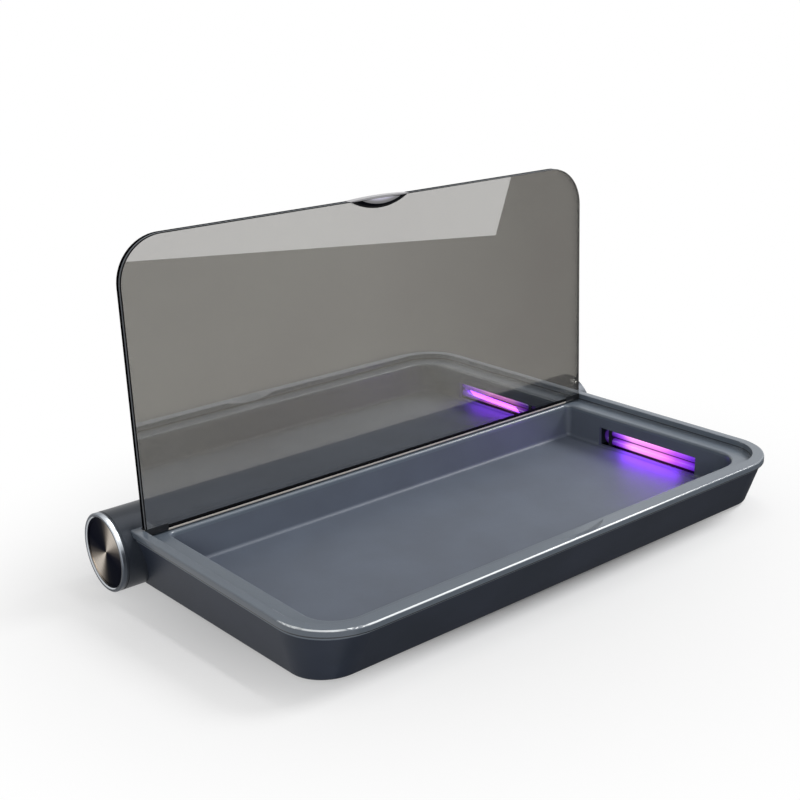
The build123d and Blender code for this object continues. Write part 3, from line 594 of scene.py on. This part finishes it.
def background_ray(tree):
    """One where the eye, a reflection or a view through glass meets the background."""
    ray = add_node(tree, "ShaderNodeLightPath")
    mirrored = add_node(tree, "ShaderNodeMath", {"operation": "MAXIMUM"},
                        {0: ray.outputs["Is Camera Ray"], 1: ray.outputs["Is Glossy Ray"]})
    return add_node(tree, "ShaderNodeMath", {"operation": "MAXIMUM"},
                    {0: mirrored.outputs[0],
                     1: ray.outputs["Is Transmission Ray"]}).outputs[0]


def add_world():
    """Soft, even studio light that is plain white where it is seen."""
    world = bpy.data.worlds.new("studio")
    bpy.context.scene.world = world
    world.use_nodes = True
    tree = world.node_tree
    tree.nodes.clear()
    soft = add_node(tree, "ShaderNodeBackground",
                    {"Color": to_linear(WHITE), "Strength": SOFT_LIGHT})
    white = add_node(tree, "ShaderNodeBackground",
                     {"Color": to_linear(WHITE), "Strength": 1.0})
    mix = add_node(tree, "ShaderNodeMixShader", links={
        0: background_ray(tree), 1: soft.outputs[0], 2: white.outputs[0]})
    output = add_node(tree, "ShaderNodeOutputWorld")
    tree.links.new(mix.outputs[0], output.inputs["Surface"])


def add_floor():
    """Matt white floor that keeps the shadow and fades to plain white further out.

    Seen from below it is clear, so that the underside shows.
    """
    mesh = bmesh.new()
    bmesh.ops.create_grid(mesh, x_segments=1, y_segments=1, size=FLOOR_HALF)
    material, tree, output, place = new_material("Studio floor, matt white paint")
    away = add_node(tree, "ShaderNodeVectorMath", {"operation": "LENGTH"},
                    {0: place.outputs["Object"]})
    fade = add_node(tree, "ShaderNodeMapRange",
                    {"interpolation_type": "SMOOTHSTEP", "From Min": FADE_START,
                     "From Max": FADE_END}, {"Value": away.outputs["Value"]})
    background = background_ray(tree)
    seen = add_node(tree, "ShaderNodeMath", {"operation": "MULTIPLY"},
                    {0: fade.outputs["Result"], 1: background})
    shade = add_node(tree, "ShaderNodeMix",
                     {"data_type": "RGBA", 6: to_linear(FLOOR_BOUNCE),
                      7: to_linear(FLOOR_SEEN)}, {0: background})
    paint = add_node(tree, "ShaderNodeBsdfDiffuse", links={"Color": shade.outputs[2]})
    white = add_node(tree, "ShaderNodeEmission",
                     {"Color": to_linear(WHITE), "Strength": 1.0})
    mix = add_node(tree, "ShaderNodeMixShader", links={
        0: seen.outputs[0], 1: paint.outputs[0], 2: white.outputs[0]})
    side = add_node(tree, "ShaderNodeNewGeometry")
    clear = add_node(tree, "ShaderNodeBsdfTransparent")
    one_sided = add_node(tree, "ShaderNodeMixShader", links={
        0: side.outputs["Backfacing"], 1: mix.outputs[0], 2: clear.outputs[0]})
    tree.links.new(one_sided.outputs[0], output.inputs["Surface"])
    floor = finish_piece(mesh, "floor", [material])


def add_reflection_card():
    """Self-lit grey card where the open lid mirrors the floor, out of the eye's sight: a
    painted reflection of a darker floor.
    """
    mesh = bmesh.new()
    corners = [mesh.verts.new((x, y, CARD_HEIGHT)) for x, y in CARD_CORNERS]
    mesh.faces.new(corners)
    bmesh.ops.recalc_face_normals(mesh, faces=mesh.faces)
    material, tree, output, place = new_material("Studio card, self-lit grey, painted reflection")
    along = level_along(tree, place.outputs["Object"], CARD_FADE, CARD_PALE, CARD_DARK)
    tone = add_node(tree, "ShaderNodeValToRGB", links={"Fac": along},
                    stops=((0.0, "#7f7e7c"), (1.0, "#4b4a4a")))
    glow = add_node(tree, "ShaderNodeEmission", {"Strength": 1.0},
                    {"Color": tone.outputs["Color"]})
    tree.links.new(glow.outputs[0], output.inputs["Surface"])
    card = finish_piece(mesh, "reflection_card", [material])
    card.visible_camera = card.visible_diffuse = card.visible_shadow = False
    card.visible_transmission = False


add_camera()
add_world()
add_floor()
add_reflection_card()
for lamp in LAMPS:
    add_area_light(*lamp)
tube_low = Vector(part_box("lamp_tube")[0])
tube_y, tube_z = middle_of("lamp_tube").yz
add_area_light("lamp's glow", (tube_low.x - GLOW_AHEAD, tube_y, tube_z),
               (tube_low.x - GLOW_THROW[0], tube_y, tube_low.z - GLOW_THROW[1]),
               GLOW_SIZE, GLOW_POWER, GLOW_COLOUR)
bpy.context.scene.view_settings.view_transform = "Standard"

# ---- Finishes --------------------------------------------------------------------------
# Dark blue-grey body that hardly shines, with a painted highlight, a paler line, under the rim.
shell_finish = grained_plastic(
    "ABS, moulded, fine etched grain", "#2e3542", "#353c4b",
    roughness=0.42, grain_mm=0.3, bump=0.25, sheen=0.2,
    band=("#7f8893", ((-3.5, 0), (-3.35, 1), (-2.95, 1), (-2.8, 0))))
# Even, soft blue-grey tub.
liner_finish = grained_plastic(
    "ABS, moulded, eggshell grain", "#565d69", "#5c6471",
    roughness=0.5, grain_mm=0.4, bump=0.3)
# Near black, with a light shine on its corners.
dark_plastic = grained_plastic(
    "Polycarbonate, moulded, black", "#141518", "#1c1d21",
    roughness=0.3, grain_mm=0.3, bump=0.05)
# Black that hardly shines.
matt_black = grained_plastic(
    "Acetal, moulded, matt black", "#0a0a0c", "#101013",
    roughness=0.6, grain_mm=0.3, bump=0.05, sheen=0.1)
# Lighter slate than the body, with a painted highlight along its outer edge and painted shade,
# a dark seam, below.
rim_finish = painted_slate(
    "Satin slate paint on ABS", "#5b646e", "#6a7480",
    roughness=0.36, bump=0.1, coat=0.3, glint=True,
    band=("#1e2024", ((-2.45, 0), (-2.35, 1), (-2.1, 1), (-1.95, 0))))
# Deep slate tube with one long soft streak.
barrel_finish = painted_slate(
    "Satin metallic slate paint on aluminium tube", "#2c3139", "#393f48",
    roughness=0.38, bump=0.08, metallic=0.25, sheen=0.3)
acrylic = half_mirror_acrylic()
# Black edge with a painted highlight, a pale line down it, near the front face; its band is
# placed from the rim's front edge.
acrylic_edge = grained_plastic(
    "Cast acrylic, milled edge, smoked dark", "#07080a", "#0b0c0f",
    roughness=0.3, grain_mm=0.8, bump=0.05, sheen=0.0,
    band=("#8f9398", ((101.55, 0), (101.75, 1), (102.2, 1), (102.5, 0)),
          RIM_BACK, RIM_NEAR))
# Black corner round the sheet, and the painted shade band along the lid's hinge edge.
acrylic_chamfer_and_shade = grained_plastic(
    "Cast acrylic, milled chamfer, smoked black", "#08080a", "#0e0e10",
    roughness=0.4, grain_mm=0.8, bump=0.03, sheen=0.1)
# Painted highlight: a cream line along the sheet's foot.
acrylic_glint = grained_plastic(
    "Cast acrylic chamfer, painted cream highlight", "#f6ecdc", "#fff8ec",
    roughness=0.2, grain_mm=0.8, bump=0.0)
# Grey satin, then the same steel dished for a finger tip.
tab_finish = plain_metal("Stainless steel, satin", "#a8a7aa", 0.3)
tab_dish = dished_steel()
# Bright grey wire and pins.
steel = plain_metal("Spring steel, drawn", "#b8babd", 0.3)
# Smoky violet mirror behind the lamp.
dark_mirror = plain_metal("Aluminium sheet, bright dipped and black anodised", "#5a5468",
                          0.2)
# Warm bright plating, duller cool plating, and bare cut metal.
nickel = plain_metal("Steel, nickel plated", "#b7b6b2", 0.25)
zinc = plain_metal("Steel, zinc plated", "#9c9fa3", 0.38)
polished_cut = plain_metal("Aluminium, diamond-cut, bare", "#b9bdc2", 0.2)
bright_cut = turned_ring()
# Dark satin inside the collar.
collar_finish = plain_metal("Aluminium, anodised slate, satin", "#474c54", 0.3)
# Dull black feet.
rubber = grained_plastic(
    "Silicone rubber, moulded", "#151617", "#1c1d1e",
    roughness=0.7, grain_mm=0.3, bump=0.2)
# Green boards, a blue cell, cream washers and pale yellow contacts, out of sight.
laminate = grained_plastic(
    "Glass-fibre laminate, green solder mask", "#1c5235", "#23603f",
    roughness=0.3, grain_mm=0.2, bump=0.05)
sleeve = grained_plastic(
    "Shrunk PVC sleeve", "#2c6893", "#33739f",
    roughness=0.3, grain_mm=0.5, bump=0.05)
nylon = grained_plastic(
    "Nylon, moulded, natural", "#cfcdc5", "#d8d6cf",
    roughness=0.5, grain_mm=0.3, bump=0.1)
brass = plain_metal("Brass, stamped and plated", "#cdbd8a", 0.25)
lamp_finish = lit_lamp_glass()
button_finish = spun_aluminium()
smoked_lens = smoked_dome()

finishes = {
    shell_finish: ["lower_shell"],
    rim_finish: ["rim_frame"],
    liner_finish: ["cavity_liner"],
    barrel_finish: ["barrel_tube", "barrel_end_cap"],
    dark_plastic: ["lamp_base", "lamp_clip", "pivot_block_left", "pivot_block_right",
                   "button_stem", "switch_carrier", "tact_switch",
                   "battery_holder", "reed_switch"],
    dark_mirror: ["lamp_reflector"],
    lamp_finish: ["lamp_tube"],
    tab_dish: ["finger_tab"],
    nickel: ["lid_magnet", "catch_plate", "charging_socket"],
    steel: ["hinge_pins"],
    nylon: ["hinge_washers"],
    button_finish: ["power_button"],
    smoked_lens: ["indicator_lens"],
    sleeve: ["battery_cell"],
    brass: ["positive_contact", "negative_contact"],
    laminate: ["control_board", "lamp_driver_board"],
    zinc: ["housing_screws"],
    rubber: ["rubber_feet"],
}
for finish, nodes in finishes.items():
    for node in nodes:
        dress(node, finish)

copy_of_node("lid_panel", "lid_sheet",
             [acrylic, acrylic_edge, acrylic_chamfer_and_shade, acrylic_glint], "lid", lid_slot,
             cuts=[(LID_LOW + LID_BAND * RIM_UP, RIM_UP)])
copy_of_node("finger_tab_frame", "tab_frame", [matt_black, tab_finish], "lid",
             tab_frame_slot, cuts=[(LID_HIGH - TAB_EDGE * RIM_UP, RIM_UP)])
copy_of_node("button_collar", "knob_collar",
             [collar_finish, bright_cut, barrel_finish, polished_cut], "base",
             collar_slot, cuts=[(Vector((RING_START, 0, 0)), Vector((1, 0, 0)))])

# The spring, its outer end on the button's back, copied onto the base with a mesh of its own.
spring = copy_of_node("button_spring", "coil_spring", [steel], "base")
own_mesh(spring)
